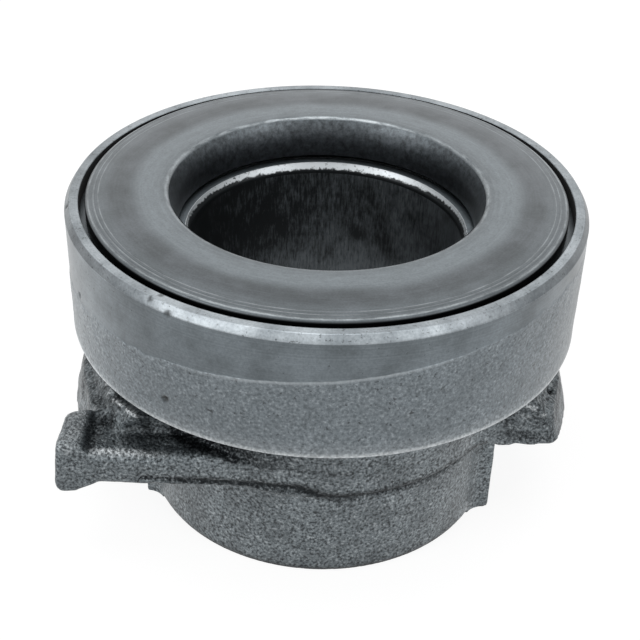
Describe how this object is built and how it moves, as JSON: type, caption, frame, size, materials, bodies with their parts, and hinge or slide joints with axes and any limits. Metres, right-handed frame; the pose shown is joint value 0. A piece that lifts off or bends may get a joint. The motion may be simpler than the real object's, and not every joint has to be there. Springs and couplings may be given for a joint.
{
  "type": "thrust bearing",
  "caption": "Clutch-release thrust bearing: a crowned thrust ring turns on balls in the cup of a cast carrier that slides on a quill and is pushed by a fork under its two wings.",
  "frame": {"origin": "middle of the hub's flat bottom face, on the bore axis, at the lowest level of the part", "axes": "+Z runs along the bore axis from the hub to the crowned thrust face; the two wings point along -X and +X, and the wing on the -X side has its lug at its -Y end, the one on the +X side at its +Y end"},
  "size_m": [0.115, 0.1124, 0.075],
  "materials": {
    "cast_iron": "sand-cast, with turned bore, rim and upper band",
    "ring_steel": "turned and worn satin",
    "race_steel": "ground",
    "spring_steel": "oil-tempered",
    "cage_steel": "pressed",
    "ball_steel": "polished"
  },
  "bodies": {
    "carrier": {"carrier": "cast_iron", "lower_race": "race_steel", "snap_ring": "spring_steel"},
    "ring": {"thrust_ring": "ring_steel"},
    "cage": {"ball_cage": "cage_steel"},
    "ball_01_body": {"ball_01": "ball_steel"},
    "ball_02_body": {"ball_02": "ball_steel"},
    "ball_03_body": {"ball_03": "ball_steel"},
    "ball_04_body": {"ball_04": "ball_steel"},
    "ball_05_body": {"ball_05": "ball_steel"},
    "ball_06_body": {"ball_06": "ball_steel"},
    "ball_07_body": {"ball_07": "ball_steel"},
    "ball_08_body": {"ball_08": "ball_steel"},
    "ball_09_body": {"ball_09": "ball_steel"},
    "ball_10_body": {"ball_10": "ball_steel"},
    "ball_11_body": {"ball_11": "ball_steel"},
    "ball_12_body": {"ball_12": "ball_steel"},
    "ball_13_body": {"ball_13": "ball_steel"},
    "ball_14_body": {"ball_14": "ball_steel"},
    "ball_15_body": {"ball_15": "ball_steel"},
    "ball_16_body": {"ball_16": "ball_steel"},
    "ball_17_body": {"ball_17": "ball_steel"},
    "ball_18_body": {"ball_18": "ball_steel"}
  },
  "joints": [
    {"name": "ring_spin", "type": "hinge", "parent": "carrier", "child": "ring", "pos_m": [0, 0, 0.07], "axis": [0, 0, 1], "continuous": true},
    {"name": "cage_spin", "type": "hinge", "parent": "carrier", "child": "cage", "pos_m": [0, 0, 0.06281], "axis": [0, 0, 1], "continuous": true},
    {"name": "ball_01_roll", "type": "hinge", "parent": "cage", "child": "ball_01_body", "pos_m": [0.04325, 0, 0.06281], "axis": [1, 0, 0], "continuous": true},
    {"name": "ball_02_roll", "type": "hinge", "parent": "cage", "child": "ball_02_body", "pos_m": [0.04064, 0.01479, 0.06281], "axis": [0.9397, 0.342, 0], "continuous": true},
    {"name": "ball_03_roll", "type": "hinge", "parent": "cage", "child": "ball_03_body", "pos_m": [0.03313, 0.0278, 0.06281], "axis": [0.766, 0.6428, 0], "continuous": true},
    {"name": "ball_04_roll", "type": "hinge", "parent": "cage", "child": "ball_04_body", "pos_m": [0.02162, 0.03746, 0.06281], "axis": [0.5, 0.866, 0], "continuous": true},
    {"name": "ball_05_roll", "type": "hinge", "parent": "cage", "child": "ball_05_body", "pos_m": [0.00751, 0.04259, 0.06281], "axis": [0.1736, 0.9848, 0], "continuous": true},
    {"name": "ball_06_roll", "type": "hinge", "parent": "cage", "child": "ball_06_body", "pos_m": [-0.00751, 0.04259, 0.06281], "axis": [-0.1736, 0.9848, 0], "continuous": true},
    {"name": "ball_07_roll", "type": "hinge", "parent": "cage", "child": "ball_07_body", "pos_m": [-0.02162, 0.03746, 0.06281], "axis": [-0.5, 0.866, 0], "continuous": true},
    {"name": "ball_08_roll", "type": "hinge", "parent": "cage", "child": "ball_08_body", "pos_m": [-0.03313, 0.0278, 0.06281], "axis": [-0.766, 0.6428, 0], "continuous": true},
    {"name": "ball_09_roll", "type": "hinge", "parent": "cage", "child": "ball_09_body", "pos_m": [-0.04064, 0.01479, 0.06281], "axis": [-0.9397, 0.342, 0], "continuous": true},
    {"name": "ball_10_roll", "type": "hinge", "parent": "cage", "child": "ball_10_body", "pos_m": [-0.04325, 0, 0.06281], "axis": [-1, 0, 0], "continuous": true},
    {"name": "ball_11_roll", "type": "hinge", "parent": "cage", "child": "ball_11_body", "pos_m": [-0.04064, -0.01479, 0.06281], "axis": [-0.9397, -0.342, 0], "continuous": true},
    {"name": "ball_12_roll", "type": "hinge", "parent": "cage", "child": "ball_12_body", "pos_m": [-0.03313, -0.0278, 0.06281], "axis": [-0.766, -0.6428, 0], "continuous": true},
    {"name": "ball_13_roll", "type": "hinge", "parent": "cage", "child": "ball_13_body", "pos_m": [-0.02162, -0.03746, 0.06281], "axis": [-0.5, -0.866, 0], "continuous": true},
    {"name": "ball_14_roll", "type": "hinge", "parent": "cage", "child": "ball_14_body", "pos_m": [-0.00751, -0.04259, 0.06281], "axis": [-0.1736, -0.9848, 0], "continuous": true},
    {"name": "ball_15_roll", "type": "hinge", "parent": "cage", "child": "ball_15_body", "pos_m": [0.00751, -0.04259, 0.06281], "axis": [0.1736, -0.9848, 0], "continuous": true},
    {"name": "ball_16_roll", "type": "hinge", "parent": "cage", "child": "ball_16_body", "pos_m": [0.02162, -0.03746, 0.06281], "axis": [0.5, -0.866, 0], "continuous": true},
    {"name": "ball_17_roll", "type": "hinge", "parent": "cage", "child": "ball_17_body", "pos_m": [0.03313, -0.0278, 0.06281], "axis": [0.766, -0.6428, 0], "continuous": true},
    {"name": "ball_18_roll", "type": "hinge", "parent": "cage", "child": "ball_18_body", "pos_m": [0.04064, -0.01479, 0.06281], "axis": [0.9397, -0.342, 0], "continuous": true}
  ],
  "couplings": [
    {"joint": "cage_spin", "follows": "ring_spin", "ratio": 0.5},
    {"joint": "ball_01_roll", "follows": "ring_spin", "ratio": -3.8922},
    {"joint": "ball_02_roll", "follows": "ring_spin", "ratio": -3.8922},
    {"joint": "ball_03_roll", "follows": "ring_spin", "ratio": -3.8922},
    {"joint": "ball_04_roll", "follows": "ring_spin", "ratio": -3.8922},
    {"joint": "ball_05_roll", "follows": "ring_spin", "ratio": -3.8922},
    {"joint": "ball_06_roll", "follows": "ring_spin", "ratio": -3.8922},
    {"joint": "ball_07_roll", "follows": "ring_spin", "ratio": -3.8922},
    {"joint": "ball_08_roll", "follows": "ring_spin", "ratio": -3.8922},
    {"joint": "ball_09_roll", "follows": "ring_spin", "ratio": -3.8922},
    {"joint": "ball_10_roll", "follows": "ring_spin", "ratio": -3.8922},
    {"joint": "ball_11_roll", "follows": "ring_spin", "ratio": -3.8922},
    {"joint": "ball_12_roll", "follows": "ring_spin", "ratio": -3.8922},
    {"joint": "ball_13_roll", "follows": "ring_spin", "ratio": -3.8922},
    {"joint": "ball_14_roll", "follows": "ring_spin", "ratio": -3.8922},
    {"joint": "ball_15_roll", "follows": "ring_spin", "ratio": -3.8922},
    {"joint": "ball_16_roll", "follows": "ring_spin", "ratio": -3.8922},
    {"joint": "ball_17_roll", "follows": "ring_spin", "ratio": -3.8922},
    {"joint": "ball_18_roll", "follows": "ring_spin", "ratio": -3.8922}
  ]
}
